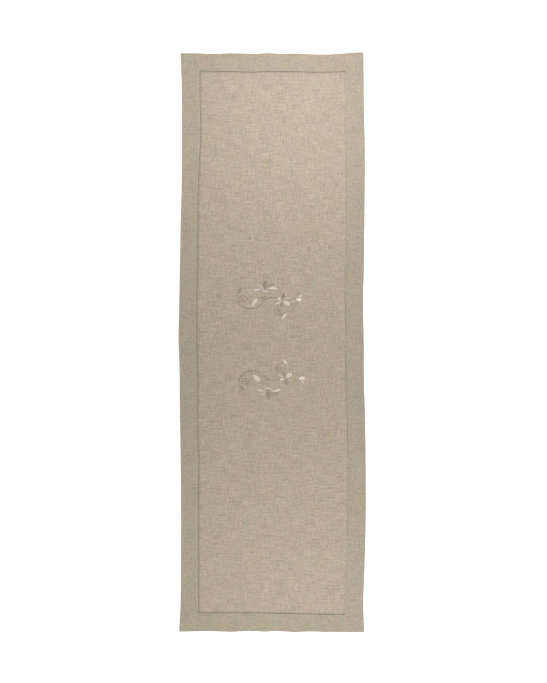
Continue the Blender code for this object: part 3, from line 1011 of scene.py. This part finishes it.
def stemRuns(spray, name, wild):
    # overlapping stitches, each leaning across the line
    wide = stems[name]["wide"] * mm
    grain = stemStitch["grain"]
    fine = smoothRun(stems[name][spray], stitching["sprays"][spray], grain)
    each = round(stemStitch["step"] / grain)
    span = round(stemStitch["length"] / grain)
    runs = []
    for first in range(-span // 2, len(fine) - span // 2, each):
        marks = []
        for ring in range(6):
            index = first + span * ring / 5
            index = min(max(index, 0), len(fine) - 1.001)
            low = int(index)
            spot = fine[low].lerp(fine[low + 1], index - low)
            ahead = fine[min(low + 2, len(fine) - 1)] - fine[max(low - 2, 0)]
            aside = Vector((-ahead.y, ahead.x)).normalized()
            share = ring / 5
            wobble = wild.uniform(*stemStitch["wobble"])
            spot += aside * (wide * stemStitch["lean"] * (1 - 2 * share) * wobble)
            dome = math.sin(math.pi * share) ** stemStitch["dome"] if 0 < share < 1 else 0.0
            marks.append(laid(spot.x, spot.y, stitchZ - stemStitch["sink"] + stemStitch["rise"] * dome))
        if (marks[0] - marks[-1]).length > stemStitch["shortest"]:
            ends = [end for _, end in stems[name][spray + "Threads"]]
            finish = sum(max(first, 0) / len(fine) >= end for end in ends[:-1])
            runs.append((marks, wide * stemStitch["halfWidth"], wide * stemStitch["halfHeight"], finish))
    return runs


def makeStem(spray, name):
    # stitches cut short at the ends of the line are left out
    runs = [run for run in stemRuns(spray, name, random.Random(spray + name + "stem"))
            if all((there - here).length > 1e-6 for here, there in zip(run[0], run[0][1:]))]
    node = stems[name].get("with", name)
    sewPiece(f"{spray}_{name}_stitches", stitchTemplate, runs,
             [kind for kind, _ in stems[name][spray + "Threads"]], [f"{spray}_{node}"])


slubs = {
    "count": 130,
    "length": (5 * mm, 20 * mm),
    "radius": (0.16 * mm, 0.30 * mm),
    "proud": 0.02 * mm,      # how far a slub's middle stands above the face
    "clearSides": 8 * mm,    # none lies nearer than this to the drawn threads
    "clearEnds": 14 * mm,
    # the few dark ones: place in millimetres, length, radius and direction
    "dark": [((-28.5, 449.5), 8.5, 0.95, "up"), ((104, 280), 6.5, 0.55, "up"),
             ((-137, 154), 7.0, 0.40, "up"), ((126, -218), 8.0, 0.35, "across")],
}


def slubRun(x, y, length, radius, direction):
    points = []
    for ring in range(7):
        along = (ring / 6 - 0.5) * length
        spot = (x, y + along) if direction == "up" else (x + along, y)
        points.append(laid(*spot, cloth["face"] + slubs["proud"] - radius * 0.35))
    return (points, radius, radius * 0.7, 0)


def makeSlubs():
    # thick places in the yarn, lying along warp or weft
    rng = random.Random("slubs")
    reachX, reachY = fieldHigh.x - slubs["clearSides"], fieldHigh.y - slubs["clearEnds"]
    runs = []
    for _ in range(slubs["count"]):
        runs.append(slubRun(rng.uniform(-reachX, reachX), rng.uniform(-reachY, reachY),
                            rng.uniform(*slubs["length"]), rng.uniform(*slubs["radius"]),
                            rng.choice(("up", "across"))))
    sewPiece("yarn_slubs", slubTemplate, runs, ["yarn"], [])
    runs = [slubRun(x * mm, y * mm, length * mm, radius * mm, direction)
            for (x, y), length, radius, direction in slubs["dark"]]
    sewPiece("dark_slubs", slubTemplate, runs, ["darkYarn"], [])


field = makeField()
band = makeBand()
for side in sides:
    makeHemBack(side)
makeSlubs()
print("cloth laid")

for side in sides:
    makeOpenwork(side)
    makeHemstitch(side)
for nameY, signY in (("top", 1), ("bottom", -1)):
    for nameX, signX in (("left", -1), ("right", 1)):
        makeMitreSeam(nameY, nameX, signY, signX)
print("hemstitching sewn")

for spray in ("top", "bottom"):
    for name, petal in (petals | details).items():
        if spray in petal:
            makePetal(spray, name, petal)
    for name in stems:
        makeStem(spray, name)
print("embroidery sewn")

studio = {
    "floorSize": 40.0,
    "floorTone": (250, 250, 250),
    "floorBelow": 0.0004,
    "worldLight": 0.90,
    "lights": {                     # place, target, size and watts
        "farEnd": ((0.07, 0.58, 0.53), (0.07, 0.58, 0), 0.25, 2.55),
        "nearEnd": ((0.07, -0.62, 0.56), (0.07, -0.62, 0), 0.25, 1.9),
        "rightSide": ((1.3, 0, 1.2), (0, 0, 0), 0.8, 11.3),
    },
    "clipEnd": 60,
    "cameraHeight": 4.0,
    "viewHeight": 1.505,            # metres of floor from top to bottom of the picture
    "cameraX": 0.0016,
    "cameraY": 0.0020,
}


def makeFloor():
    bm = bmesh.new()
    bmesh.ops.create_grid(bm, x_segments=8, y_segments=8, size=studio["floorSize"] / 2)
    floor = newObject("studioFloor", newMesh("studioFloor", bm))
    floor.location.z = -studio["floorBelow"]
    material, _, shader = newMaterial("studioFloor")
    shader.inputs["Base Color"].default_value = tone(*studio["floorTone"], level=1)
    shader.inputs["Roughness"].default_value = 0.9
    floor.data.materials.append(material)


def makeLights():
    world = bpy.data.worlds.new("studio")
    bpy.context.scene.world = world
    world.use_nodes = True
    background = world.node_tree.nodes["Background"]
    background.inputs["Color"].default_value = (1, 1, 1, 1)
    background.inputs["Strength"].default_value = studio["worldLight"]
    for name, (place, target, size, watts) in studio["lights"].items():
        light = bpy.data.lights.new(name, "AREA")
        light.size = size
        light.energy = watts
        lamp = newObject(name, light)
        lamp.location = place
        lamp.visible_camera = False
        lamp.rotation_euler = (Vector(target) - Vector(place)).to_track_quat("-Z", "Y").to_euler()


def makeCamera():
    camera = bpy.data.cameras.new("camera")
    camera.sensor_width = 36
    camera.lens = camera.sensor_width / 2 * studio["cameraHeight"] / (studio["viewHeight"] / 2)
    holder = newObject("camera", camera)
    holder.location = (studio["cameraX"], studio["cameraY"], studio["cameraHeight"])
    camera.clip_end = studio["clipEnd"]
    bpy.context.scene.camera = holder


makeFloor()
makeLights()
makeCamera()
bpy.context.scene.view_settings.view_transform = "Standard"
print("studio ready")
